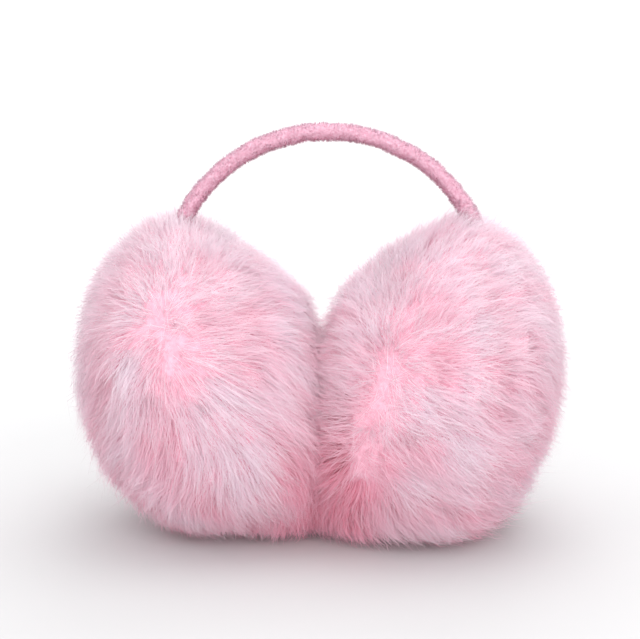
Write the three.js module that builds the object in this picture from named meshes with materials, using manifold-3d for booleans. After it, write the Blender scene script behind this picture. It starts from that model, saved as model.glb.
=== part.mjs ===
// Fur earmuffs: two round fur ear cups on a springy headband in a short-pile velour sleeve.
// Millimetres, +Z up. X runs from ear to ear, -Y is the front and z = 0 is the surface the cups stand on.

import * as THREE from 'three';
import { mergeVertices } from 'three/addons/utils/BufferGeometryUtils.js';
import Module from 'manifold-3d';

const wasm = await Module();
wasm.setup();

// Fur cups
const CUP_RADIUS = 73.5;        // from the cup's axis to the tips of the fur
const CUP_OUTER_DEPTH = 54;     // from the cup's middle to its outer side
const CUP_INNER_DEPTH = 57;     // from the cup's middle towards the other cup, before they press together
const CUP_SQUARENESS = 2.1;     // exponent of the cup's outline, where 2 is an ellipse
const INNER_SAG = 3;            // added to it below, where the pressed fur sags between the cups
const INNER_SLOPE = 0.7;        // taken from it above, where the fur slopes down between the cups
const OUTER_TUCK = 0.1;         // taken from it below on the outer side
const CUP_SPACING = 98;         // between the middles of the two cups
const CUP_PRESS = 9;            // how far the standing cup's fur is pressed in by its own weight
const CUP_LEAN = 8.5;           // degrees that the cup's top leans outwards
const CUP_GAP = 0.6;            // between the two cups where their fur meets
const FIT_GAP = 0.3;            // between a piece and what it sits in

// Locks of fur
const LOCK_COUNT = 76;
const LOCK_RELIEF = 6;          // how far the tips stand above the fur's solid body
const LOCK_ROOT_DEPTH = 13;     // how deep under the fur's outer surface a lock starts
const LOCK_TIP_DEPTH = 1;       // and how deep its pointed tip ends
const LOCK_SWEEP = 38;          // how far a lock is combed along the surface
const LOCK_WIDTH = 26;
const LOCK_THICKNESS = 15;
const LOCK_KEEL = 1.8;          // how much thicker a lock is below than above, so it stays on the body
const LOCK_BURY = 1.86;         // how quickly a lock comes up out of the body along its length
const LOCK_TAPER = 0.4;         // how its width falls off, from 0 for straight sides to 1 for a cone
const LOCK_JITTER = 0.06;       // scatter of the locks' roots, in shares of the cup's radius
const LOCK_SPREAD = 0.2;        // scatter of the locks' sizes
const LOCK_SIDES = 4;
const LOCK_STEPS = 2;
const LOCK_DROOP = 0.4;         // share of its sweep that a lock hangs down
const LOCK_STRAY = 0.5;         // share of its sweep that a lock strays sideways

// Line on the front and back of each cup that the fur is combed away from, in shares of the cup's radius
const PARTINGS = [
  { name: 'left', side: -1, topOut: 0.06, topUp: 0.5, footOut: 0.01, footUp: 0.37 },
  { name: 'right', side: 1, topOut: -0.36, topUp: 0.17, footOut: -0.42, footUp: -0.34 },
];

// Ear pads
const PAD_RADIUS = 30;
const PAD_THICKNESS = 8;
const PAD_DOME = 2.5;           // how far the middle of the pad stands above its edge
const PAD_EDGE = 2;             // radius of the pad's edge
const EAR_DEPTH = 13;           // from the meeting cups to the pad's edge

// Headband
const BAND_WIDTH = 10;          // front to back
const BAND_THICKNESS = 7;
const BAND_RISE = 65;           // from the arch's springing line to the middle of the band at its top
const BAND_SPRING = 37;         // springing line above the cups' middles
const BAND_SEAT_OUT = 17.8;     // band's ends outwards of the cups' middles
const BAND_SEAT_UP = 8;         // band's ends above the cups' middles
const BAND_SHIFT = 3.2;         // the worn-in band stands a little to the right
const BAND_SIDES = 12;
const BAND_STEPS = 48;

// Facets
const CORE_SEGMENTS = 26;
const OUTLINE_STEPS = 8;
const PAD_SEGMENTS = 32;
const EDGE_STEPS = 4;
const WELD = 1e-4;              // corners nearer than this are one
const LOOK_AHEAD = 0.02;        // share of a lock's length over which its direction is taken

const CUP_HEIGHT = CUP_RADIUS - CUP_PRESS;
const CUP_MEET = CUP_SPACING / 2;
const CLEAR = 4 * (CUP_RADIUS + CUP_SPACING);   // larger than the whole part, for cutting blocks

const fur = new THREE.MeshStandardMaterial({ color: 0xf4b9cd, roughness: 0.95, metalness: 0 });
const velour = new THREE.MeshStandardMaterial({ color: 0xecc3d9, roughness: 0.9, metalness: 0 });
const plush = new THREE.MeshStandardMaterial({ color: 0xf0bccb, roughness: 0.92, metalness: 0 });

function toSolid(geometry, matrix = new THREE.Matrix4()) {
  const bare = geometry.clone().applyMatrix4(matrix);
  bare.deleteAttribute('normal');
  bare.deleteAttribute('uv');
  const merged = mergeVertices(bare, WELD);
  return new wasm.Manifold(new wasm.Mesh({
    numProp: 3,
    vertProperties: new Float32Array(merged.attributes.position.array),
    triVerts: new Uint32Array(merged.index.array),
  }));
}

// The solid's largest skin, without the voids between fused locks and the tips that are cut loose
function toGeometry(solid) {
  const mesh = solid.getMesh();
  const corners = Array.from(mesh.triVerts);
  const vertexCount = mesh.vertProperties.length / mesh.numProp;
  const leader = Array.from({ length: vertexCount }, (_, vertex) => vertex);
  const find = (vertex) => {
    let top = vertex;
    while (leader[top] !== top) top = leader[top];
    leader[vertex] = top;
    return top;
  };
  for (let i = 0; i < corners.length; i += 3) {
    leader[find(corners[i + 1])] = find(corners[i]);
    leader[find(corners[i + 2])] = find(corners[i]);
  }
  const skinSizes = new Map();
  for (const corner of corners) skinSizes.set(find(corner), (skinSizes.get(find(corner)) ?? 0) + 1);
  const [largest] = [...skinSizes].reduce((a, b) => (b[1] > a[1] ? b : a));
  const geometry = new THREE.BufferGeometry();
  geometry.setAttribute('position', new THREE.BufferAttribute(mesh.vertProperties, mesh.numProp));
  geometry.setIndex(corners.filter((corner) => find(corner) === largest));
  geometry.computeVertexNormals();
  return geometry;
}

function block(low, high) {
  const size = high.clone().sub(low);
  const middle = high.clone().add(low).multiplyScalar(0.5);
  return new THREE.BoxGeometry(size.x, size.y, size.z).translate(middle.x, middle.y, middle.z);
}

// Repeatable scatter between -1 and 1
function scatter(index, salt) {
  const wave = Math.sin(index * 12.9898 + salt * 78.233) * 43758.5453;
  return 2 * (wave - Math.floor(wave)) - 1;
}

// Distance from the cup's middle to its fur tips, along a unit direction whose x is outwards
function cupReach(direction) {
  const depth = direction.x > 0 ? CUP_OUTER_DEPTH : CUP_INNER_DEPTH;
  const across = Math.hypot(direction.y, direction.z);
  const above = Math.max(direction.z, 0);
  const below = Math.max(-direction.z, 0);
  const change = direction.x > 0 ? -OUTER_TUCK * below : INNER_SAG * below - INNER_SLOPE * above;
  const power = CUP_SQUARENESS + change;
  return (Math.abs(direction.x / depth) ** power + (across / CUP_RADIUS) ** power) ** (-1 / power);
}

// A turned shape about the cup's axis: each point is [radius, distance outwards]
function turnedAboutAxis(points, segments) {
  const outline = points.map(([radius, out]) => new THREE.Vector2(radius, out));
  return new THREE.LatheGeometry(outline, segments).rotateZ(-Math.PI / 2);
}

function coreGeometry() {
  const core = new THREE.SphereGeometry(1, CORE_SEGMENTS, 2 * OUTLINE_STEPS).rotateZ(-Math.PI / 2);
  const position = core.attributes.position;
  for (let i = 0; i < position.count; i += 1) {
    const point = new THREE.Vector3().fromBufferAttribute(position, i).normalize();
    point.multiplyScalar(cupReach(point) - LOCK_RELIEF);
    position.setXYZ(i, point.x, point.y, point.z);
  }
  return core;
}

// Which way the fur lies at a point of the cup, along its surface: away from the parting, and down a little
function combAt(direction, parting) {
  const top = new THREE.Vector2(parting.topOut, parting.topUp);
  const foot = new THREE.Vector2(parting.footOut, parting.footUp);
  const here = new THREE.Vector2(direction.x, direction.z);
  const line = foot.clone().sub(top);
  const along = THREE.MathUtils.clamp(here.clone().sub(top).dot(line) / line.lengthSq(), 0, 1);
  const away = here.clone().sub(top.addScaledVector(line, along)).normalize();
  const comb = new THREE.Vector3(away.x, 0, away.y - LOCK_DROOP);
  return comb.addScaledVector(direction, -comb.dot(direction));
}

// One lock: a cone laid from under the fur's body out to the tips, bent along the comb
function lockGeometry(index, salt, parting) {
  const turn = index * Math.PI * (3 - Math.sqrt(5));
  const up = 1 - (2 * (index + 0.5)) / LOCK_COUNT;
  const ring = Math.sqrt(1 - up * up);
  const root = new THREE.Vector3(ring * Math.cos(turn), ring * Math.sin(turn), up);
  root.x += LOCK_JITTER * scatter(index, salt);
  root.y += LOCK_JITTER * scatter(index, salt + 1);
  root.z += LOCK_JITTER * scatter(index, salt + 2);
  root.normalize();
  const comb = combAt(root, parting);
  const sideways = new THREE.Vector3().crossVectors(root, new THREE.Vector3(1, 0, 0));
  comb.addScaledVector(sideways, LOCK_STRAY * scatter(index, salt + 3));
  const size = 1 + LOCK_SPREAD * scatter(index, salt + 4);
  const sweep = (size * LOCK_SWEEP) / cupReach(root);

  const spine = (t) => {
    const direction = root.clone().addScaledVector(comb, t * sweep).normalize();
    const depth = LOCK_TIP_DEPTH + (LOCK_ROOT_DEPTH - LOCK_TIP_DEPTH) * (1 - t) ** LOCK_BURY;
    return direction.multiplyScalar(cupReach(direction) - depth);
  };
  const cone = new THREE.ConeGeometry(1, 1, LOCK_SIDES, LOCK_STEPS).translate(0, 0.5, 0);
  const position = cone.attributes.position;
  const outwards = root.clone().addScaledVector(comb, 0.5 * sweep).normalize();
  for (let i = 0; i < position.count; i += 1) {
    const t = position.getY(i);
    const swell = t < 1 ? (1 - t) ** (LOCK_TAPER - 1) : 1;
    const centre = spine(t);
    const ahead = spine(Math.min(t + LOOK_AHEAD, 1)).sub(spine(Math.max(t - LOOK_AHEAD, 0))).normalize();
    const across = new THREE.Vector3().crossVectors(ahead, outwards).normalize();
    const over = new THREE.Vector3().crossVectors(across, ahead);
    centre.addScaledVector(across, 0.5 * size * LOCK_WIDTH * swell * position.getX(i));
    const rise = position.getZ(i) < 0 ? LOCK_KEEL * position.getZ(i) : position.getZ(i);
    centre.addScaledVector(over, 0.5 * size * LOCK_THICKNESS * swell * rise);
    position.setXYZ(i, centre.x, centre.y, centre.z);
  }
  return cone;
}

// Middle line of the band: up from one cup, over in an arch and down into the other
class BandLine extends THREE.Curve {
  constructor(extraDepth) {
    super();
    this.foot = CUP_HEIGHT + BAND_SEAT_UP - extraDepth;
    this.spring = CUP_HEIGHT + BAND_SPRING;
    this.half = CUP_SPACING / 2 + BAND_SEAT_OUT;
    this.leg = this.spring - this.foot;
    this.arch = (Math.PI * (this.half + BAND_RISE)) / 2;
  }

  getPoint(t, target = new THREE.Vector3()) {
    const along = t * (2 * this.leg + this.arch);
    const angle = (Math.PI * THREE.MathUtils.clamp(along - this.leg, 0, this.arch)) / this.arch;
    const legPart = along < this.leg ? this.leg - along : Math.max(along - this.leg - this.arch, 0);
    const x = BAND_SHIFT - this.half * Math.cos(angle);
    return target.set(x, 0, this.spring - legPart + BAND_RISE * Math.sin(angle));
  }
}

function bandGeometry(growth) {
  const section = new THREE.Shape();
  const outline = [];
  for (let i = 0; i < BAND_SIDES; i += 1) {
    const angle = (2 * Math.PI * i) / BAND_SIDES;
    const frontToBack = (BAND_WIDTH / 2 + growth) * Math.cos(angle);
    outline.push(new THREE.Vector2(frontToBack, (BAND_THICKNESS / 2 + growth) * Math.sin(angle)));
  }
  section.setFromPoints(outline);
  return new THREE.ExtrudeGeometry(section, { steps: BAND_STEPS, extrudePath: new BandLine(growth) });
}

function recessGeometry(floor) {
  const radius = PAD_RADIUS + FIT_GAP;
  const mouth = floor - CLEAR;
  return turnedAboutAxis([[0, mouth], [radius, mouth], [radius, floor], [0, floor]], PAD_SEGMENTS);
}

// A low dome with a rounded edge, its flat back outwards
function padGeometry(back) {
  const points = [[0, back - PAD_THICKNESS - PAD_DOME]];
  const edgeFace = back - PAD_THICKNESS;
  const flat = PAD_RADIUS - PAD_EDGE;
  for (let i = 1; i <= EDGE_STEPS; i += 1) {
    const share = i / EDGE_STEPS;
    points.push([share * flat, edgeFace - PAD_DOME * (1 - share * share)]);
  }
  for (let i = 1; i <= EDGE_STEPS; i += 1) {
    const angle = (Math.PI / 2) * (i / EDGE_STEPS);
    points.push([flat + PAD_EDGE * Math.sin(angle), edgeFace + PAD_EDGE * (1 - Math.cos(angle))]);
  }
  points.push([PAD_RADIUS, back], [0, back]);
  return turnedAboutAxis(points, PAD_SEGMENTS);
}

const earmuffs = new THREE.Group();

const headband = new THREE.Mesh(bandGeometry(0), velour);
headband.name = 'headband';
earmuffs.add(headband);

for (const parting of PARTINGS) {
  const { name, side } = parting;
  // The cup's own frame has x outwards. The left one is turned half round Z, so it is no mirror image.
  const cup = new THREE.Group();
  cup.position.set((side * CUP_SPACING) / 2, 0, CUP_HEIGHT);
  cup.rotation.set(0, THREE.MathUtils.degToRad(side * CUP_LEAN), side > 0 ? 0 : Math.PI, 'YXZ');
  cup.updateMatrixWorld();
  const intoCup = cup.matrixWorld.clone().invert();

  let puff = toSolid(coreGeometry());
  for (let i = 0; i < LOCK_COUNT; i += 1) puff = puff.add(toSolid(lockGeometry(i, 10 * side, parting)));
  const floor = block(new THREE.Vector3(-CLEAR, -CLEAR, -CLEAR), new THREE.Vector3(CLEAR, CLEAR, 0));
  const [from, to] = side > 0 ? [-CLEAR, CUP_GAP / 2] : [-CUP_GAP / 2, CLEAR];
  const beyond = block(new THREE.Vector3(from, -CLEAR, -CLEAR), new THREE.Vector3(to, CLEAR, CLEAR));
  const padBack = EAR_DEPTH + PAD_THICKNESS - CUP_MEET;
  puff = puff.subtract(toSolid(floor, intoCup)).subtract(toSolid(beyond, intoCup));
  puff = puff.subtract(toSolid(recessGeometry(padBack + FIT_GAP)));
  puff = puff.subtract(toSolid(bandGeometry(FIT_GAP), intoCup));

  const furCup = new THREE.Mesh(toGeometry(puff), fur);
  furCup.name = `${name}_fur_cup`;
  const pad = new THREE.Mesh(padGeometry(padBack), plush);
  pad.name = `${name}_ear_pad`;
  cup.add(furCup, pad);
  earmuffs.add(cup);
}

// The origin lies under the middle of the whole part
const extent = new THREE.Box3().setFromObject(earmuffs, true);
const middle = extent.getCenter(new THREE.Vector3());
earmuffs.position.set(-middle.x, -middle.y, 0);

export default earmuffs;
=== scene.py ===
"""Fur earmuffs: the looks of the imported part. Metres, +Z up, -Y is the front."""
import math

import bpy
import numpy as np
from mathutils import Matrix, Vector


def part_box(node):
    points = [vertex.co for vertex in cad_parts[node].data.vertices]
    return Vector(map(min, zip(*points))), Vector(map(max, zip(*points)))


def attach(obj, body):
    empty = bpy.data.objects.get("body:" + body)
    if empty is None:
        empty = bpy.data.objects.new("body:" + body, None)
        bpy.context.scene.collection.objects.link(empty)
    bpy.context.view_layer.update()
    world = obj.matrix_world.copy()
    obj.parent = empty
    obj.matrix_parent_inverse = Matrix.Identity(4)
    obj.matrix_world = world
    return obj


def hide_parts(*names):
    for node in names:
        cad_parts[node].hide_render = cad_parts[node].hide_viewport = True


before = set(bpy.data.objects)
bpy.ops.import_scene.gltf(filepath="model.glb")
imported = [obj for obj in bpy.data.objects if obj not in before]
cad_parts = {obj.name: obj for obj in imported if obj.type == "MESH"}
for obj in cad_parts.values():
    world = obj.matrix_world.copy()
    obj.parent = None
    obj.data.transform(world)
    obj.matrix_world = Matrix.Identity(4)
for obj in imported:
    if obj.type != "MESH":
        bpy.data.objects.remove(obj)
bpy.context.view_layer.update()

MM = 0.001
TINY = 1e-12                  # keeps a division from being by nothing
STEEP = 0.8                   # upward part of a direction above which it is crossed with a level one
SLOPE_STEP = 0.01             # how far apart the directions are from which a slope is worked out

# Fur cups, as in the part's source
CUP_RADIUS = 73.5 * MM
CUP_OUTER_DEPTH = 54 * MM
CUP_INNER_DEPTH = 57 * MM
CUP_SQUARENESS = 2.1
INNER_SAG = 3.0
INNER_SLOPE = 0.7
OUTER_TUCK = 0.1
CUP_SPACING = 98 * MM
CUP_HEIGHT = 64.5 * MM
CUP_LEAN = math.radians(8.5)
PAD_RADIUS = 30 * MM
PAD_THICKNESS = 8 * MM
PAD_DOME = 2.5 * MM
PAD_EDGE = 2 * MM
EAR_DEPTH = 13 * MM
PAD_BACK = EAR_DEPTH + PAD_THICKNESS - CUP_SPACING / 2

# Headband, as in the part's source
BAND_WIDTH = 10 * MM
BAND_THICKNESS = 7 * MM
BAND_RISE = 65 * MM
BAND_SPRING = 37 * MM
BAND_SEAT_OUT = 17.8 * MM
BAND_SEAT_UP = 8 * MM
BAND_SHIFT = 3.2 * MM

# The part's own middle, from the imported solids
MEET_X = (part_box("left_fur_cup")[1].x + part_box("right_fur_cup")[0].x) / 2
MIDDLE_Y = (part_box("headband")[0].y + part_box("headband")[1].y) / 2

# How the long fur lies
FUR_DEPTH = 14 * MM           # roots below the fur's outer surface
FUR_SWEEP = 21 * MM           # how far a hair is combed along the surface
FUR_DROOP = 0.4               # share of its sweep that a hair hangs down
BEND_POWER = 1.25             # above 1, a hair bends over more towards its tip
RISE_POWER = 1.8              # above 1, it comes up from its root soon
PAD_CLEARANCE = 2 * MM        # from an ear pad to the nearest roots
ROOT_JITTER = 1.1             # scatter of the clumps' places, about in shares of the room that each has
SWIRL_SCATTER = 0.1           # turn of a clump out of its neighbours' direction, in radians
COMB_SCATTER = 0.13           # scatter of its direction, in shares of its sweep
PARTING_SCATTER = 0.3         # what is added to that in a parting
LENGTH_SCATTER = 0.1
LENGTH_RANGE = (0.4, 1.4)
TIP_SCATTER = 0.9 * MM

# The partings, where hairs stand up. Widths here are in shares of the cup's radius.
PARTING_WIDTH = 0.11
PARTING_LAY = 0.6             # share of a hair's sweep that is left in a parting
PARTING_DIP = 1.5 * MM        # how much shorter the fur is there

# Where the two cups press on each other, and just above the floor
MEET_REACH = 26 * MM          # from the plane where they meet, fur that lies beside the other cup
MEET_HANG = 16 * MM           # how far it hangs down in between the cups' feet
MEET_HANG_HEIGHT = 24 * MM    # height at which it no longer does
MEET_LAYER = 5 * MM           # thickness of the pressed fur
MINGLE = 7 * MM               # how far its tips reach past the plane
TURN_OUT = 1.1                # how far a pressed hair turns aside, in shares of how far it is pressed
FLOOR_GAP = 0.3 * MM
FRINGE = 3.5 * MM             # scatter of the tips above the floor
FRINGE_SLOPE = -0.7           # upward part of the surface's normal where the lowest fur hangs out most
FRINGE_BAND = 0.25            # difference from that at which it no longer does
NEAR_POWER = 1.5              # above 1, most tips end near the low end of their scatter
LEAST_RISE = 1 * MM           # a root counts as at least this much higher than its tip may be
LEAST_STAY = 0.05             # share of a hair that stays at least where the floor cuts it short

# The hairs of a clump
SPREAD_POWER = 0.8            # below 1, a clump reaches its tips' spread early
ROOT_WAVER = 0.2 * MM         # scatter of each point of a hair, at its root
TIP_WAVER = 0.6 * MM          # what is added to that at its tip
BOW = 1.1 * MM                # bow of a whole clump, halfway along
HAIR_BOW = 0.7                # bow of a single hair in it, in shares of that
HAIR_LENGTHS = (0.75, 1.06)
HAIR_WIDTHS = (0.75, 1.2)
STRAY_SWING = 2 * MM          # scatter of a stray hair's tip
STRAY_LIFT = 1.6 * MM         # how far that tip stands out
STRAY_POWER = 1.5             # above 1, it leaves its clump late

# Tones of the hairs, from 0, deep pink, to 1, pale
MEAN_TONE = 0.72
CLUMP_TONE_SCATTER = 0.11
HAIR_TONE_SCATTER = 0.08
PAINTED_TOP_LIGHT = 0.25             # painted light: how much paler the fur is where it faces up
PAINTED_LIGHT_LEAST_UPWARD = -0.15           # least upward part of the surface's normal that counts for that painted light
PARTING_TONE = 0.04           # how much paler it is in a parting
PAINTED_HIGHLIGHT_TONE = 0.3               # painted highlight: how much paler the pale locks are in their middle
PAINTED_HIGHLIGHT_WIDTH = 0.2              # width of the pale locks' painted highlight, in shares of the cup's radius
MEET_PAINTED_SHADE = 0.8               # painted shade: how much deeper the fur's pink is beside the other cup, at the floor
MEET_FADE = 112 * MM          # height at which that painted shade is gone
FOOT_PAINTED_SHADE = 0.7               # painted shade: how much deeper it is all round the foot
FOOT_REACH = 10 * MM          # height at which it isn't

# Shading of the hairs, in shares of the surface's normal
MEET_SHADING = 3.5            # how much the fur beside the other cup is shaded as if it ran on into it
LOWEST_SHADING = 0.05         # least upward part, so that the low fur catches light from the front
ROLL_SCATTER = 0.3            # how much the hairs' flat sides roll
SHADE_SCATTER = 0.12
SHADE_COMB = 0.2              # how much the way that a hair is combed counts
FLAT_SHADING = 0.6            # how much its own flat side counts

# Form of a hair's ribbon, and its place in the UV map: its tone across, its length upwards
TAPER_START = 1.15            # above 1, a hair keeps its full width for a while
TAPER_POWER = 0.55            # below 1, it narrows late
UV_EDGE = 0.01
UV_TONES = 0.97
UV_LENGTHS = 0.98
UV_WIDTH = 0.004

# Opaque underfur below the hairs. Its deep pink is painted shade of the fur's depths.
BACKING_DEPTH = 9 * MM        # below the fur's outer surface
UNDERFUR_GAP = 1 * MM         # from the plane where the cups meet
UNDERFUR_DIP = 6 * MM         # how much deeper it lies beside that plane
UNDERFUR_DIP_WIDTH = 14 * MM
UNDERFUR_RISE = 6 * MM        # how much nearer it is to the fur's surface between the cups' feet, so that its painted shade shows there
UNDERFUR_FOOT = 1.5           # height at which it no longer is, in shares of FOOT_REACH
UNDERFUR_LIFT = 2.5 * MM      # from the floor
UNDERFUR_LUMPS = 1.2 * MM
UNDERFUR_LUMP_SIZE = 13 * MM
UNDERFUR_RINGS = 70
UNDERFUR_SIDES = 120
RIM_WIDTH = 1 * MM            # of underfur that is left open round the ear pad
RIM_REACH = 2 * MM            # how far the rim is from the cup's middle, above the cup's radius
RECESS_ROOM = 0.4 * MM        # from the ear pad to the wall round it
POLE = 0.01                   # angle of the ring that closes the outer side, in radians
PINHOLE = 0.1 * MM            # radius of the ring that closes a face in its middle

# Ear pads
PAD_SIDES = 96
PAD_FACE_RINGS = 26
PAD_EDGE_RINGS = 7
PAD_FACE_START = 0.004        # innermost ring of the face, in shares of its radius
PAD_EDGE_START = 0.15         # first angle round the edge, in radians
PAD_BEVEL = 0.5 * MM          # at its back

# Velour sleeve of the headband, with its lumps
SLEEVE_DEPTH = 0.35 * MM      # below the pile's tips
SLEEVE_RINGS = 300
SLEEVE_SIDES = 36
SLEEVE_LUMPS = {"strength": 0.22 * MM, "size": 11 * MM, "seed": 71}
SLEEVE_BUMPS = {"strength": 0.1 * MM, "size": 4 * MM, "seed": 72}

# Short pile on it
PILE_SEED = 401
PILE_COUNT = 28000
PILE_SPAN = (0.08, 0.92)      # part of the band's length that shows
PILE_LENGTH = 0.9 * MM
PILE_LENGTHS = (0.7, 1.15)
PILE_LEAN = 0.6 * MM
PILE_BOW = 0.12 * MM
PILE_WIDTH = 0.16 * MM
PILE_TUFTS = {"strength": 1.0, "size": 5 * MM, "seed": 402}
PILE_TUFT_LENGTH = 0.25       # how much longer the pile is in a tuft
PILE_TUFT_TONE = 0.15         # how much paler it is there
PILE_SPECKS = {"strength": 0.2, "size": 2 * MM, "seed": 403}
PILE_TONE = 0.45
PILE_PAINTED_TOP_LIGHT = 0.3         # painted light: how much paler it is where it faces up
PILE_TONE_SCATTER = 0.28
PILE_SHADE_LEAN = 0.6         # how much its lean counts in its shading

# Slow waves in the fur, which the coats of a cup share
WAVES_SEED = 1000
FUR_WAVES = {
    "swirl": {"strength": 0.34, "size": 45 * MM, "seed": 0},
    "fine_swirl": {"strength": 0.2, "size": 15 * MM, "seed": 10},
    "length": {"strength": 0.12, "size": 20 * MM, "seed": 20},
    "height": {"strength": 0.9 * MM, "size": 17 * MM, "seed": 30},
    "tone": {"strength": 0.16, "size": 26 * MM, "seed": 40},
}
UNDERFUR_SEED = 31
NOISE_WAVES = 7
NOISE_RATES = (0.6, 1.5)      # how often its waves repeat over the noise's size
NOISE_SPREAD = 2.6            # brings the sum of its waves to about -1 to 1

# Coats of the fur. A length is a share of a full hair's, a depth is that of the tips under the fur's surface,
# and a clump's hairs are spread over root at their roots and over tip at their tips.
COATS = (
    {"name": "undercoat", "clumps": 14000, "hairs": 4, "points": 3, "length": 0.78, "depth": 2.4 * MM,
     "root": 1.6 * MM, "tip": 1.5 * MM, "width": 0.26 * MM, "stray": 0.02},
    {"name": "locks", "clumps": 6000, "hairs": 6, "points": 4, "length": 1.0, "depth": 1.2 * MM,
     "root": 2.6 * MM, "tip": 1.2 * MM, "width": 0.24 * MM, "stray": 0.04},
    {"name": "wisps", "clumps": 9000, "hairs": 2, "points": 3, "length": 1.1, "depth": -1.6 * MM,
     "root": 1.6 * MM, "tip": 2.0 * MM, "width": 0.16 * MM, "stray": 0.15},
)

# Each cup's side, the parting that its fur is combed away from, the middle line of its pale locks, which are
# a painted highlight, and how far its lowest fur hangs out of the round form. Lines are outwards and upwards,
# in shares of its radius.
CUPS = {
    "left": {
        "side": -1,
        "parting": ((0.06, 0.50), (0.01, 0.37)),
        "pale": ((-0.02, 0.2), (-0.26, -0.3)),
        "hang": -2 * MM,
        "seed": 100,
    },
    "right": {
        "side": 1,
        "parting": ((-0.36, 0.17), (-0.42, -0.34)),
        "pale": ((-0.24, 0.05), (0.1, -0.2)),
        "hang": 3 * MM,
        "seed": 200,
    },
}

# Colours of the hairs along their length, for the deepest and the palest tone. The deeper roots are
# painted shade of the fur's depths.
FUR_DARK = [
    (0.0, (0.56, 0.10, 0.16)),
    (0.2, (0.84, 0.34, 0.45)),
    (0.6, (0.94, 0.51, 0.63)),
    (1.0, (0.95, 0.60, 0.72)),
]
FUR_LIGHT = [
    (0.0, (0.82, 0.58, 0.67)),
    (0.2, (0.91, 0.78, 0.85)),
    (0.6, (0.94, 0.88, 0.93)),
    (1.0, (0.95, 0.92, 0.95)),
]
PILE_DARK = [(0.0, (0.60, 0.25, 0.34)), (1.0, (0.72, 0.38, 0.48))]
PILE_LIGHT = [(0.0, (0.68, 0.44, 0.54)), (1.0, (0.79, 0.75, 0.83))]

# Colours of the speckled surfaces. The underfur's deep pink is painted shade of the fur's depths.
UNDERFUR_DARK = (0.70, 0.33, 0.42)
UNDERFUR_LIGHT = (0.84, 0.50, 0.60)
VELOUR_DARK = (0.60, 0.26, 0.36)
VELOUR_LIGHT = (0.80, 0.56, 0.66)
PLUSH_DARK = (0.82, 0.36, 0.47)
PLUSH_LIGHT = (0.94, 0.60, 0.70)

# Surfaces
SHEEN_ROUGHNESS = 0.5
HAIR_SPECULAR = 0.04
DULL_SPECULAR = 0.05
SPECKLE_DETAIL = 4.0
SPECKLE_ROUGHNESS = 0.7
SPECKLE_RANGE = (0.3, 0.7)    # part of the noise over which its colour changes
SPECKLE_HEIGHT = 0.4 * MM

# Floor, in metres
FLOOR_SIZE = 60.0
FLOOR_ROUGHNESS = 0.9
# Painted light: the floor is darker near the object and lighter far from it.
NEAR_FLOOR = (0.59, 0.59, 0.595)
NEAR_FLOOR_REACH = 0.2
FAR_FLOOR = (0.97, 0.97, 0.97)
FAR_FLOOR_REACH = 1.6

# Light, in metres and watts
WORLD_COLOUR = (1.0, 1.0, 1.0, 1)
WORLD_STRENGTH = 1.28
OBJECT_MIDDLE = (0.0, 0.0, 0.08)
OBJECT_FOOT = (0.0, 0.0, 0.03)
LIGHTS = (
    {"name": "back_light", "place": (0.1, 0.75, 0.75), "aim": OBJECT_MIDDLE, "size": 0.7, "power": 3},
    {"name": "top_light", "place": (0.15, 0.0, 0.9), "aim": OBJECT_MIDDLE, "size": 0.6, "power": 1.5},
    {"name": "front_fill", "place": (0.2, -1.1, 0.45), "aim": OBJECT_FOOT, "size": 0.9, "power": 6.5},
)

# Camera
CAMERA_DISTANCE = 0.62
CAMERA_RISE = math.radians(10)
CAMERA_TURN = math.radians(2)
AIM_HEIGHT = 88 * MM
SENSOR_WIDTH = 36
IMAGE_WIDTH = 640
MM_PER_PIXEL = 0.42 * MM


def unit(vectors):
    return vectors / np.maximum(np.linalg.norm(vectors, axis=-1, keepdims=True), TINY)


def dot(a, b):
    return np.sum(a * b, axis=-1, keepdims=True)


def fade(distance, reach):
    """1 where there is no distance, falling to 0 at reach."""
    return np.clip(1 - distance / reach, 0, 1)


def soft_noise(points, strength, size, seed):
    """Smooth noise of about -strength to strength that varies over a distance of size."""
    rng = np.random.default_rng(seed)
    rates = unit(rng.normal(size=(NOISE_WAVES, 3))) * rng.uniform(*NOISE_RATES, size=(NOISE_WAVES, 1))
    phases = rng.uniform(0, 2 * math.pi, size=NOISE_WAVES)
    waves = np.sin(points @ (rates * (2 * math.pi / size)).T + phases)
    return strength * (waves.sum(axis=-1) / NOISE_SPREAD)


def line_offset(directions, ends):
    """How far directions lie from a line on the cup, outwards and upwards."""
    here = directions[:, [0, 2]]
    top, foot = np.array(ends)
    line = foot - top
    along = np.clip((here - top) @ line / (line @ line), 0, 1)
    return here - (top + along[:, None] * line)


def sphere_points(count, rng, jitter):
    """Evenly spread directions with a little scatter."""
    index = np.arange(count)
    turn = index * math.pi * (3 - math.sqrt(5))
    up = 1 - 2 * (index + 0.5) / count
    ring = np.sqrt(1 - up * up)
    points = np.stack([ring * np.cos(turn), ring * np.sin(turn), up], axis=-1)
    return unit(points + jitter * rng.normal(size=points.shape))


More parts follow.
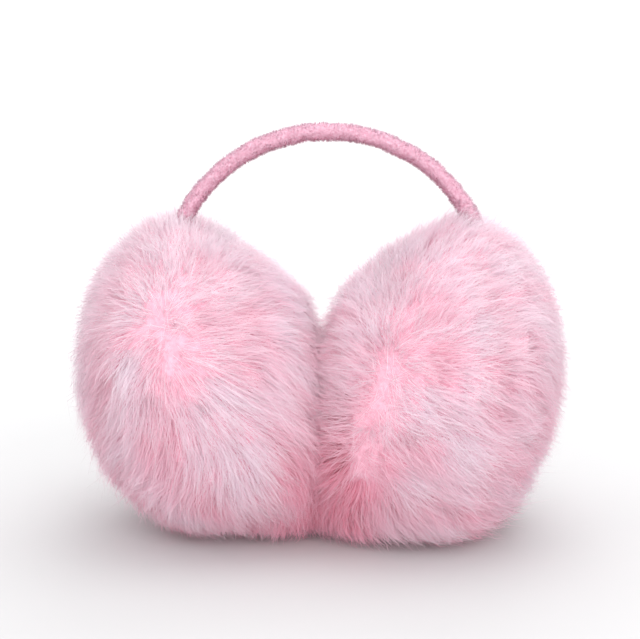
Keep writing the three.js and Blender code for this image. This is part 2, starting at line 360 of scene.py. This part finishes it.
class Cup:
    """One round cup of fur: a squared ellipsoid about its own ear axis, which leans outwards at the top."""

    def __init__(self, name):
        row = CUPS[name]
        self.name = name
        self.side = row["side"]
        self.parting = row["parting"]
        self.pale = row["pale"]
        self.hang = row["hang"]
        self.seed = row["seed"]
        self.middle = np.array([MEET_X + self.side * CUP_SPACING / 2, MIDDLE_Y, CUP_HEIGHT])
        out = [self.side * math.cos(CUP_LEAN), 0, -math.sin(CUP_LEAN)]
        up = [self.side * math.sin(CUP_LEAN), 0, math.cos(CUP_LEAN)]
        self.axes = np.array([out, [0, 1, 0], up])

    def place(self, points):
        return points @ self.axes + self.middle

    def turn(self, vectors):
        return vectors @ self.axes

    def reach(self, directions):
        """Distance from the cup's middle to its fur tips."""
        outer = directions[..., 0] > 0
        depth = np.where(outer, CUP_OUTER_DEPTH, CUP_INNER_DEPTH)
        across = np.hypot(directions[..., 1], directions[..., 2])
        above = np.maximum(directions[..., 2], 0)
        below = np.maximum(-directions[..., 2], 0)
        inner_power = INNER_SAG * below - INNER_SLOPE * above
        power = CUP_SQUARENESS + np.where(outer, -OUTER_TUCK * below, inner_power)
        total = np.abs(directions[..., 0] / depth) ** power + (across / CUP_RADIUS) ** power
        return total ** (-1 / power)

    def normal(self, directions):
        """Outward normal of the cup's surface, from its slope in two directions across."""
        level = np.abs(directions[..., 2:]) < STEEP
        first = unit(np.cross(directions, np.where(level, [0.0, 0.0, 1.0], [0.0, 1.0, 0.0])))
        second = np.cross(directions, first)
        slopes = []
        for across in (first, second):
            ahead = unit(directions + SLOPE_STEP * across)
            behind = unit(directions - SLOPE_STEP * across)
            slopes.append(ahead * self.reach(ahead)[..., None] - behind * self.reach(behind)[..., None])
        return unit(np.cross(slopes[0], slopes[1]))

    def comb(self, directions):
        """Which way the fur lies, away from the parting and down a little, and how flat it lies there."""
        offset = line_offset(directions, self.parting)
        lay = np.clip(np.linalg.norm(offset, axis=-1, keepdims=True) / PARTING_WIDTH, 0, 1)
        lay = lay * lay * (3 - 2 * lay)
        push = PARTING_LAY + (1 - PARTING_LAY) * lay
        away = unit(offset)
        flow = push * np.concatenate([away[:, :1], np.zeros_like(lay), away[:, 1:] - FUR_DROOP], axis=-1)
        return flow - dot(flow, directions) * directions, lay[:, 0]

    def wave(self, kind, points):
        """A slow wave in the cup's fur."""
        row = FUR_WAVES[kind]
        return soft_noise(points, row["strength"], row["size"], WAVES_SEED + self.side + row["seed"])


class Clumps:
    """The clumps of one coat, all over a cup: where they are, how they lie, their length and their tone."""

    def __init__(self, cup, coat, rng):
        self.cup = cup
        self.coat = coat
        self.roots = self.spread_roots(rng)
        self.count = len(self.roots)
        self.points = self.roots * cup.reach(self.roots)[:, None]
        self.normal = cup.normal(self.roots)
        self.upward = cup.turn(self.normal)[:, 2]
        self.places = cup.place(self.points)
        self.beside = fade(np.abs(self.places[:, 0] - MEET_X), MEET_REACH)
        self.comb, self.lay = self.combed(rng)
        self.length = self.lengths(rng)
        self.tip_depth = self.tip_depths(rng)
        self.tone = self.tones(rng)

    def spread_roots(self, rng):
        """Directions of the clumps from the cup's middle, with none under the ear pad."""
        roots = sphere_points(self.coat["clumps"], rng, ROOT_JITTER / math.sqrt(self.coat["clumps"]))
        across = self.cup.reach(roots) * np.hypot(roots[:, 1], roots[:, 2])
        return roots[(roots[:, 0] > 0) | (across > PAD_RADIUS + PAD_CLEARANCE)]

    def combed(self, rng):
        """Which way the clumps lie, with swirls and scatter, and how flat they lie."""
        comb, lay = self.cup.comb(self.roots)
        swirl = self.cup.wave("swirl", self.points) + self.cup.wave("fine_swirl", self.points)
        swirl += SWIRL_SCATTER * rng.normal(size=self.count)
        sideways = np.cross(self.roots, comb)
        comb = comb * np.cos(swirl)[:, None] + sideways * np.sin(swirl)[:, None]
        scatter = COMB_SCATTER + PARTING_SCATTER * (1 - lay)
        comb += scatter[:, None] * rng.normal(size=(self.count, 3))
        return comb, lay

    def lengths(self, rng):
        """Lengths of the clumps, in shares of a full hair's."""
        scatter = LENGTH_SCATTER * rng.normal(size=self.count)
        length = self.coat["length"] * (1 + self.cup.wave("length", self.points) + scatter)
        return np.clip(length, *LENGTH_RANGE)

    def tip_depths(self, rng):
        """Depths of the tips under the fur's surface, less where the fur hangs out of its round form."""
        depth = self.coat["depth"] + TIP_SCATTER * np.abs(rng.normal(size=self.count))
        depth += PARTING_DIP * (1 - self.lay) - self.cup.wave("height", self.points)
        depth -= MEET_HANG * self.beside * fade(self.places[:, 2], MEET_HANG_HEIGHT)
        depth -= self.cup.hang * fade(np.abs(self.upward - FRINGE_SLOPE), FRINGE_BAND)
        return depth

    def tones(self, rng):
        """Tones: painted light on top, a painted highlight on the pale locks, painted shade by the other cup
        and foot.
        """
        tone = MEAN_TONE + self.cup.wave("tone", self.points)
        tone += CLUMP_TONE_SCATTER * rng.normal(size=self.count)
        # Painted light: paler where the fur faces up, a little deeper where it faces down; a parting is a
        # little paler.
        tone += PAINTED_TOP_LIGHT * np.maximum(self.upward, PAINTED_LIGHT_LEAST_UPWARD) + PARTING_TONE * (1 - self.lay)
        # Painted shade: deeper pink beside the other cup and all round the foot, where shade falls.
        tone -= MEET_PAINTED_SHADE * self.beside * fade(self.places[:, 2], MEET_FADE)
        tone -= FOOT_PAINTED_SHADE * fade(self.places[:, 2], FOOT_REACH)
        # Painted highlight: paler along the middle of the pale locks.
        from_highlight = np.linalg.norm(line_offset(self.roots, self.cup.pale), axis=-1)
        return tone + PAINTED_HIGHLIGHT_TONE * fade(from_highlight, PAINTED_HIGHLIGHT_WIDTH)

    def spines(self, share):
        """Middle lines of the clumps: up from the root, and over along the surface."""
        sweep = (FUR_SWEEP * self.length / self.cup.reach(self.roots))[:, None, None]
        bend = share ** (BEND_POWER + (1 - self.lay[:, None]))
        directions = unit(self.roots[:, None, :] + self.comb[:, None, :] * sweep * bend[..., None])
        tip = self.tip_depth[:, None]
        depth = tip + (FUR_DEPTH - tip) * (1 - share) ** RISE_POWER
        return directions * (self.cup.reach(directions) - depth)[..., None]

    def spread(self, share, rng):
        """How far the hairs of each clump lie from its middle line."""
        hairs = (self.count, self.coat["hairs"])
        first = unit(np.cross(self.normal, rng.normal(size=(self.count, 3))))
        second = np.cross(self.normal, first)
        radius = np.sqrt(rng.uniform(size=hairs))[..., None]
        angle = rng.uniform(0, 2 * math.pi, size=hairs)[..., None]
        around = radius * (np.cos(angle) * first[:, None, :] + np.sin(angle) * second[:, None, :])
        width = self.coat["root"] + (self.coat["tip"] - self.coat["root"]) * share**SPREAD_POWER
        return around[:, :, None, :] * width[:, None]

    def hair_paths(self, rng):
        """Points along each hair, which wavers, bows, is a little longer or shorter, or strays."""
        share = np.linspace(0, 1, self.coat["points"])
        hairs = (self.count, self.coat["hairs"], 1)
        paths = self.spines(share)[:, None, :, :] + self.spread(share, rng)
        share = share[:, None]
        paths += rng.normal(size=paths.shape) * (ROOT_WAVER + TIP_WAVER * share)
        bow = rng.normal(size=(self.count, 1, 1, 3)) + HAIR_BOW * rng.normal(size=(*hairs, 3))
        paths += bow * (BOW * 4 * share * (1 - share))
        start = paths[:, :, :1]
        paths = start + (paths - start) * rng.uniform(*HAIR_LENGTHS, size=(*hairs, 1))
        stray = rng.uniform(size=(*hairs, 1)) < self.coat["stray"]
        swing = STRAY_SWING * rng.normal(size=(*hairs, 3)) + STRAY_LIFT * self.normal[:, None, None, :]
        paths += np.where(stray, swing * share**STRAY_POWER, 0)
        return self.cup.place(paths.reshape(-1, self.coat["points"], 3))

    def facing(self):
        """Which way the clumps are shaded as facing."""
        facing = self.cup.turn(self.normal)
        round_cups = unit(self.places - [MEET_X, *self.cup.middle[1:]])
        facing += MEET_SHADING * self.beside[:, None] * round_cups
        facing[:, 2] = np.maximum(facing[:, 2], LOWEST_SHADING)
        return unit(facing)


def keep_clear(cup, paths, rng):
    """Hairs that would pass the floor end there. Those that press on the other cup turn out along it."""
    count = len(paths)
    low = FLOOR_GAP + FRINGE * rng.uniform(size=count) ** NEAR_POWER
    root = np.maximum(paths[:, 0, 2], low + LEAST_RISE)
    stay = np.clip((root - low) / np.maximum(root - paths[..., 2].min(axis=1), TINY), LEAST_STAY, 1)
    paths = paths[:, :1] + (paths - paths[:, :1]) * stay[:, None, None]

    near = (MEET_LAYER * rng.uniform(size=count) ** NEAR_POWER - MINGLE)[:, None]
    inside = cup.side * (paths[..., 0] - MEET_X)
    past = np.maximum(near - inside, 0)
    away = unit((paths - cup.middle)[..., 1:])
    paths[..., 1:] += TURN_OUT * past[..., None] * away
    paths[..., 0] = np.where(past > 0, MEET_X + cup.side * near, paths[..., 0])
    paths[..., 2] = np.maximum(paths[..., 2], FLOOR_GAP)
    return paths


def add_object(name, mesh):
    piece = bpy.data.objects.new(name, mesh)
    bpy.context.scene.collection.objects.link(piece)
    return piece


def ribbon_mesh(name, points, steps):
    """A mesh of ribbons, each with pairs of points and one at its tip, and the point at each face corner."""
    count, per_hair, _ = points.shape
    last = 2 * (steps - 2)
    quads = [[2 * i, 2 * i + 1, 2 * i + 3, 2 * i + 2] for i in range(steps - 2)]
    corners = np.array(sum(quads, []) + [last, last + 1, last + 2])
    loops = (np.arange(count)[:, None] * per_hair + corners[None, :]).ravel()
    starts = np.arange(steps - 1) * 4
    face_starts = (np.arange(count)[:, None] * len(corners) + starts[None, :]).ravel()

    mesh = bpy.data.meshes.new(name)
    mesh.vertices.add(count * per_hair)
    mesh.vertices.foreach_set("co", points.astype(np.float32).ravel())
    mesh.loops.add(len(loops))
    mesh.loops.foreach_set("vertex_index", loops.astype(np.int32))
    mesh.polygons.add(len(face_starts))
    mesh.polygons.foreach_set("loop_start", face_starts.astype(np.int32))
    mesh.update(calc_edges=True)
    mesh.polygons.foreach_set("use_smooth", np.ones(len(face_starts), dtype=bool))
    return mesh, loops


def keep_tone(mesh, loops, share, tone):
    """Put each hair's tone and its place along the hair in the mesh's UV map."""
    per_hair = 2 * len(share) - 1
    side = np.where(np.arange(per_hair) % 2 == 0, 0.0, UV_WIDTH)
    side[-1] = UV_WIDTH / 2
    height = np.append(np.repeat(share[:-1], 2), 1.0)
    uv = np.empty((len(tone), per_hair, 2))
    uv[..., 0] = UV_EDGE + UV_TONES * tone[:, None] + side[None, :]
    uv[..., 1] = UV_EDGE + UV_LENGTHS * height[None, :]
    layer = mesh.uv_layers.new(name="OFBake")
    layer.data.foreach_set("uv", uv.reshape(-1, 2)[loops].astype(np.float32).ravel())


def ribbons(name, paths, facing, normals, width, tone):
    """One piece of thin tapered ribbons, with a path of points for each hair. A ribbon is shaded partly as
    itself and partly as the surface it lies on."""
    _, steps, _ = paths.shape
    share = np.linspace(0, 1, steps)
    chord = paths[:, -1] - paths[:, 0]
    across = unit(np.cross(chord, facing))
    flat = unit(np.cross(across, chord))
    outwards = np.where(dot(flat, normals) < 0, -1.0, 1.0)
    normals = unit(normals + FLAT_SHADING * outwards * flat)
    across = (outwards * across)[:, None, :]
    taper = np.clip(TAPER_START * (1 - share) ** TAPER_POWER, 0, 1)
    half_width = taper[None, :, None] * width[:, None, None] / 2
    left = (paths - across * half_width)[:, :-1]
    right = (paths + across * half_width)[:, :-1]
    pairs = np.stack([left, right], axis=2).reshape(len(paths), -1, 3)
    points = np.concatenate([pairs, paths[:, -1:]], axis=1)

    mesh, loops = ribbon_mesh(name, points, steps)
    keep_tone(mesh, loops, share, tone)
    shade = np.repeat(normals[:, None, :], points.shape[1], axis=1).reshape(-1, 3)
    mesh.normals_split_custom_set_from_vertices(shade.astype(np.float32))
    return add_object(name, mesh)


def fur_coat(cup, coat, seed):
    """One coat of clumped hairs over a whole cup."""
    rng = np.random.default_rng(seed)
    clumps = Clumps(cup, coat, rng)
    paths = clumps.hair_paths(rng)
    total = len(paths)
    facing = np.repeat(clumps.facing(), coat["hairs"], axis=0)
    comb = cup.turn(np.repeat(clumps.comb, coat["hairs"], axis=0))
    roll = ROLL_SCATTER * rng.normal(size=(total, 3))
    shade = facing + SHADE_SCATTER * rng.normal(size=(total, 3)) + SHADE_COMB * comb
    tone = np.repeat(clumps.tone, coat["hairs"]) + HAIR_TONE_SCATTER * rng.normal(size=total)
    width = coat["width"] * rng.uniform(*HAIR_WIDTHS, size=total)
    paths = keep_clear(cup, paths, rng)
    name = f"{cup.name}_{coat['name']}"
    return ribbons(name, paths, unit(facing + roll), shade, width, np.clip(tone, 0, 1))


def grid_mesh(name, rows):
    """A smooth piece with a mesh skin through rows of closed rings of points."""
    row_count, ring_count, _ = rows.shape
    index = np.arange(row_count * ring_count).reshape(row_count, ring_count)
    ahead = np.roll(index, -1, axis=1)
    faces = np.stack([index[:-1], ahead[:-1], ahead[1:], index[1:]], axis=-1)
    mesh = bpy.data.meshes.new(name)
    mesh.from_pydata(rows.reshape(-1, 3).tolist(), [], faces.reshape(-1, 4).tolist())
    mesh.polygons.foreach_set("use_smooth", np.ones(len(mesh.polygons), dtype=bool))
    mesh.update()
    return add_object(name, mesh)


def rings(profile, ring):
    """Rings of points about a cup's axis, one for each radius and place outwards in the profile."""
    return np.array([
        np.stack([np.full_like(ring, out), radius * np.cos(ring), radius * np.sin(ring)], axis=-1)
        for radius, out in profile
    ])


def underfur_shell(cup, ring):
    """Rings of the lumpy underfur, from its outer side round to the ear pad's rim."""
    rim = math.asin((PAD_RADIUS + RIM_WIDTH) / (CUP_RADIUS + RIM_REACH))
    slopes = np.linspace(0.5 * math.pi - POLE, -0.5 * math.pi + rim, UNDERFUR_RINGS)
    slope, angle = np.meshgrid(slopes, ring, indexing="ij")
    directions = np.stack(
        [np.sin(slope), np.cos(slope) * np.cos(angle), np.cos(slope) * np.sin(angle)], axis=-1
    )
    points = directions * cup.reach(directions)[..., None]
    places = cup.place(points)
    lumps = soft_noise(points, UNDERFUR_LUMPS, UNDERFUR_LUMP_SIZE, UNDERFUR_SEED + cup.side)
    beside = fade(np.abs(places[..., 0] - MEET_X), UNDERFUR_DIP_WIDTH) ** 2
    foot = np.clip(UNDERFUR_FOOT - places[..., 2] / FOOT_REACH, 0, 1)
    dip = beside * (directions[..., 0] < 0) * (UNDERFUR_DIP - foot * (UNDERFUR_DIP + UNDERFUR_RISE))
    return directions * (cup.reach(directions) - BACKING_DEPTH - dip + lumps)[..., None]


def underfur(cup):
    """The opaque underfur, with the wall and the floor of the ear pad's recess."""
    ring = np.linspace(0, 2 * math.pi, UNDERFUR_SIDES, endpoint=False)
    shell = underfur_shell(cup, ring)
    wall = PAD_RADIUS + RECESS_ROOM
    recess = rings([(wall, shell[-1, 0, 0]), (wall, PAD_BACK), (PINHOLE, PAD_BACK)], ring)
    rows = cup.place(np.concatenate([shell, recess], axis=0))
    rows[..., 2] = np.maximum(rows[..., 2], UNDERFUR_LIFT)
    inside = cup.side * (rows[..., 0] - MEET_X)
    rows[..., 0] = np.where(inside < UNDERFUR_GAP, MEET_X + cup.side * UNDERFUR_GAP, rows[..., 0])
    if cup.side > 0:
        rows = rows[:, ::-1]
    return grid_mesh(f"{cup.name}_underfur", rows)


def ear_pad(cup):
    """A plush cushion: a crowned face with a rounded edge."""
    face = PAD_BACK - PAD_THICKNESS
    flat = PAD_RADIUS - PAD_EDGE
    profile = []
    for share in np.linspace(PAD_FACE_START, 1, PAD_FACE_RINGS):
        profile.append((share * flat, face - PAD_DOME * (1 - share**2)))
    for turn in np.linspace(PAD_EDGE_START, 0.5 * math.pi, PAD_EDGE_RINGS):
        profile.append((flat + PAD_EDGE * math.sin(turn), face + PAD_EDGE * (1 - math.cos(turn))))
    profile.append((PAD_RADIUS, PAD_BACK - PAD_BEVEL))
    profile.append((PAD_RADIUS - PAD_BEVEL, PAD_BACK))
    profile.append((PINHOLE, PAD_BACK))
    rows = cup.place(rings(profile, np.linspace(0, 2 * math.pi, PAD_SIDES, endpoint=False)))
    if cup.side < 0:
        rows = rows[:, ::-1]
    return grid_mesh(f"{cup.name}_pad_cushion", rows)


def band_line(share):
    """Middle line of the band, and its direction away from the arch's middle."""
    foot = CUP_HEIGHT + BAND_SEAT_UP
    spring = CUP_HEIGHT + BAND_SPRING
    half = CUP_SPACING / 2 + BAND_SEAT_OUT
    leg = spring - foot
    arch = math.pi * (half + BAND_RISE) / 2
    along = share * (2 * leg + arch)
    angle = math.pi * np.clip(along - leg, 0, arch) / arch
    leg_part = np.where(along < leg, leg - along, np.maximum(along - leg - arch, 0))
    x = MEET_X + BAND_SHIFT - half * np.cos(angle)
    z = spring - leg_part + BAND_RISE * np.sin(angle)
    middle = np.stack([x, np.full_like(x, MIDDLE_Y), z], axis=-1)
    outwards = np.stack([-np.cos(angle) / half, np.zeros_like(x), np.sin(angle) / BAND_RISE], axis=-1)
    return middle, unit(outwards)


def band_surface(share, angle):
    """Points of the velour sleeve and their outward normals."""
    middle, outwards = band_line(share)
    frontwards = np.zeros_like(middle)
    frontwards[..., 1] = 1
    c = np.cos(angle)[..., None]
    s = np.sin(angle)[..., None]
    points = middle + outwards * c * BAND_THICKNESS / 2 + frontwards * s * BAND_WIDTH / 2
    normals = unit(outwards * c / BAND_THICKNESS + frontwards * s / BAND_WIDTH)
    bumps = soft_noise(points, **SLEEVE_LUMPS) + soft_noise(points, **SLEEVE_BUMPS)
    return points + normals * (bumps - SLEEVE_DEPTH)[..., None], normals


def band_sleeve():
    """The velour sleeve, closed at both ends."""
    ring = np.linspace(0, 2 * math.pi, SLEEVE_SIDES, endpoint=False)
    share, angle = np.meshgrid(np.linspace(0, 1, SLEEVE_RINGS), ring, indexing="ij")
    rows, _ = band_surface(share, angle)
    ends, _ = band_line(np.array([0.0, 1.0]))
    first = np.repeat(ends[:1, None], SLEEVE_SIDES, axis=1)
    last = np.repeat(ends[1:, None], SLEEVE_SIDES, axis=1)
    return grid_mesh("band_sleeve", np.concatenate([first, rows, last], axis=0)[:, ::-1])


def band_pile():
    """Short velour pile over the part of the band that shows."""
    rng = np.random.default_rng(PILE_SEED)
    share = rng.uniform(*PILE_SPAN, size=PILE_COUNT)
    angle = rng.uniform(0, 2 * math.pi, size=PILE_COUNT)
    base, normal = band_surface(share, angle)
    lean = unit(rng.normal(size=(PILE_COUNT, 3)))
    tufts = soft_noise(base, **PILE_TUFTS)
    length = PILE_LENGTH * (1 + PILE_TUFT_LENGTH * tufts) * rng.uniform(*PILE_LENGTHS, size=PILE_COUNT)
    tip = base + normal * length[:, None] + PILE_LEAN * lean
    halfway = (base + tip) / 2 + PILE_BOW * normal
    facing = unit(np.cross(normal, rng.normal(size=(PILE_COUNT, 3))))
    tone = PILE_TONE + PILE_TUFT_TONE * tufts + soft_noise(base, **PILE_SPECKS)
    # Painted light: paler where the pile faces up, deeper where it faces down.
    tone += PILE_PAINTED_TOP_LIGHT * normal[:, 2] + PILE_TONE_SCATTER * rng.normal(size=PILE_COUNT)
    paths = np.stack([base, halfway, tip], axis=1)
    width = np.full(PILE_COUNT, PILE_WIDTH)
    shade = normal + PILE_SHADE_LEAN * lean
    return ribbons("band_pile", paths, facing, shade, width, np.clip(tone, 0, 1))


class Nodes:
    """A material's node tree, with short ways to add and join nodes."""

    def __init__(self, name, roughness, specular, sheen=0.0):
        self.material = bpy.data.materials.new(name)
        self.material.use_nodes = True
        self.tree = self.material.node_tree
        self.shader = self.tree.nodes["Principled BSDF"]
        self.shader.inputs["Roughness"].default_value = roughness
        self.shader.inputs["Specular IOR Level"].default_value = specular
        self.shader.inputs["Sheen Weight"].default_value = sheen
        self.shader.inputs["Sheen Roughness"].default_value = SHEEN_ROUGHNESS

    def add(self, kind, **inputs):
        node = self.tree.nodes.new(kind)
        for key, value in inputs.items():
            node.inputs[key].default_value = value
        return node

    def join(self, source, target):
        self.tree.links.new(source, target)

    def ramp(self, value, stops):
        node = self.tree.nodes.new("ShaderNodeValToRGB")
        ramp = node.color_ramp
        while len(ramp.elements) < len(stops):
            ramp.elements.new(0.5)
        for element, (place, colour) in zip(ramp.elements, stops):
            element.position = place
            element.color = (*colour, 1)
        self.join(value, node.inputs["Fac"])
        return node.outputs["Color"]

    def mix(self, share, first, second):
        node = self.tree.nodes.new("ShaderNodeMix")
        node.data_type = "RGBA"
        self.join(share, node.inputs["Factor"])
        self.join(first, node.inputs["A"])
        self.join(second, node.inputs["B"])
        return node.outputs["Result"]

    def see_light_through(self, colour, share):
        """Thin hairs let light through them."""
        output = self.tree.nodes["Material Output"]
        through = self.add("ShaderNodeBsdfTranslucent")
        self.join(colour, through.inputs["Color"])
        mixed = self.add("ShaderNodeMixShader", Fac=share)
        self.join(self.shader.outputs["BSDF"], mixed.inputs[1])
        self.join(through.outputs["BSDF"], mixed.inputs[2])
        self.join(mixed.outputs["Shader"], output.inputs["Surface"])


def hair_material(name, dark, light, roughness, through):
    """Hair whose tone and place along its length are in its UV map."""
    nodes = Nodes(name, roughness, HAIR_SPECULAR)
    where = nodes.add("ShaderNodeUVMap")
    where.uv_map = "OFBake"
    parts = nodes.add("ShaderNodeSeparateXYZ")
    nodes.join(where.outputs["UV"], parts.inputs["Vector"])
    along = parts.outputs["Y"]
    # Each hair deepens towards its root: painted shade deep in the fur.
    colour = nodes.mix(parts.outputs["X"], nodes.ramp(along, dark), nodes.ramp(along, light))
    nodes.join(colour, nodes.shader.inputs["Base Color"])
    nodes.see_light_through(colour, through)
    return nodes.material


def speckled_material(name, dark, light, scale, roughness, bump, sheen):
    """Pile seen too small to resolve: fine speckles in colour and height."""
    nodes = Nodes(name, roughness, DULL_SPECULAR, sheen)
    place = nodes.add("ShaderNodeTexCoord")
    fine = nodes.add("ShaderNodeTexNoise", Scale=scale, Detail=SPECKLE_DETAIL, Roughness=SPECKLE_ROUGHNESS)
    nodes.join(place.outputs["Object"], fine.inputs["Vector"])
    colour = nodes.ramp(fine.outputs["Fac"], list(zip(SPECKLE_RANGE, (dark, light))))
    nodes.join(colour, nodes.shader.inputs["Base Color"])
    height = nodes.add("ShaderNodeBump", Strength=bump, Distance=SPECKLE_HEIGHT)
    nodes.join(fine.outputs["Fac"], height.inputs["Height"])
    nodes.join(height.outputs["Normal"], nodes.shader.inputs["Normal"])
    return nodes.material


def finish_piece(piece, material, slot, *nodes):
    piece.data.materials.clear()
    piece.data.materials.append(material)
    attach(piece, "root")
    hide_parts(*nodes)


def dress_cup(cup, fur, under, plush):
    """One cup's underfur, coats of fur and ear pad."""
    finish_piece(underfur(cup), under, "cup_fur", f"{cup.name}_fur_cup")
    for place, coat in enumerate(COATS):
        finish_piece(fur_coat(cup, coat, cup.seed + place), fur, "cup_fur", f"{cup.name}_fur_cup")
    pad = ear_pad(cup)
    finish_piece(pad, plush, "pad_plush", f"{cup.name}_ear_pad")


def floor_material():
    """Pale, with painted light: darker near the object and lighter away from it, so that the floor runs into
    the white behind it.
    """
    nodes = Nodes("floor", FLOOR_ROUGHNESS, DULL_SPECULAR)
    place = nodes.add("ShaderNodeTexCoord")
    distance = nodes.add("ShaderNodeVectorMath")
    distance.operation = "LENGTH"
    nodes.join(place.outputs["Object"], distance.inputs[0])
    reach = {"From Min": NEAR_FLOOR_REACH, "From Max": FAR_FLOOR_REACH}
    spread = nodes.add("ShaderNodeMapRange", **reach)
    nodes.join(distance.outputs["Value"], spread.inputs["Value"])
    colour = nodes.ramp(spread.outputs["Result"], [(0.0, NEAR_FLOOR), (1.0, FAR_FLOOR)])
    nodes.join(colour, nodes.shader.inputs["Base Color"])
    return nodes.material


def studio_floor():
    half = FLOOR_SIZE / 2
    corners = [(-half, -half, 0), (half, -half, 0), (half, half, 0), (-half, half, 0)]
    mesh = bpy.data.meshes.new("floor")
    mesh.from_pydata(corners, [], [(0, 1, 2, 3)])
    mesh.materials.append(floor_material())
    add_object("floor", mesh)


def studio_world():
    world = bpy.data.worlds.new("studio")
    world.use_nodes = True
    world.node_tree.nodes["Background"].inputs["Color"].default_value = WORLD_COLOUR
    world.node_tree.nodes["Background"].inputs["Strength"].default_value = WORLD_STRENGTH
    bpy.context.scene.world = world


def area_light(name, place, aim, size, power):
    light = bpy.data.lights.new(name, "AREA")
    light.size = size
    light.energy = power
    lamp = add_object(name, light)
    lamp.location = place
    lamp.rotation_euler = (Vector(aim) - Vector(place)).to_track_quat("-Z", "Y").to_euler()


def place_camera():
    """In front of the object, a little above it and to its right, at the photograph's scale."""
    data = bpy.data.cameras.new("camera")
    data.sensor_width = SENSOR_WIDTH
    data.lens = SENSOR_WIDTH * CAMERA_DISTANCE / (IMAGE_WIDTH * MM_PER_PIXEL)
    offset = Vector((
        math.sin(CAMERA_TURN) * math.cos(CAMERA_RISE),
        -math.cos(CAMERA_TURN) * math.cos(CAMERA_RISE),
        math.sin(CAMERA_RISE),
    ))
    camera = add_object("camera", data)
    camera.location = Vector((MEET_X, 0, AIM_HEIGHT)) + offset * CAMERA_DISTANCE
    camera.rotation_euler = (-offset).to_track_quat("-Z", "Y").to_euler()
    bpy.context.scene.camera = camera


fur = hair_material("cup_fur", FUR_DARK, FUR_LIGHT, roughness=0.7, through=0.6)
pile = hair_material("band_velour_pile", PILE_DARK, PILE_LIGHT, roughness=0.8, through=0.35)
# The underfur's deep pink is painted shade of the fur's depths.
under = speckled_material(
    "underfur", UNDERFUR_DARK, UNDERFUR_LIGHT, scale=500.0, roughness=0.95, bump=0.8, sheen=0.0
)
velour = speckled_material(
    "band_velour", VELOUR_DARK, VELOUR_LIGHT, scale=1100.0, roughness=0.9, bump=0.6, sheen=0.0
)
plush = speckled_material(
    "pad_plush", PLUSH_DARK, PLUSH_LIGHT, scale=1200.0, roughness=0.9, bump=0.8, sheen=0.2
)

for cup_name in CUPS:
    dress_cup(Cup(cup_name), fur, under, plush)
finish_piece(band_sleeve(), velour, "band_velour", "headband")
finish_piece(band_pile(), pile, "band_velour", "headband")

studio_floor()
studio_world()
for row in LIGHTS:
    area_light(**row)
place_camera()
bpy.context.scene.view_settings.view_transform = "Standard"
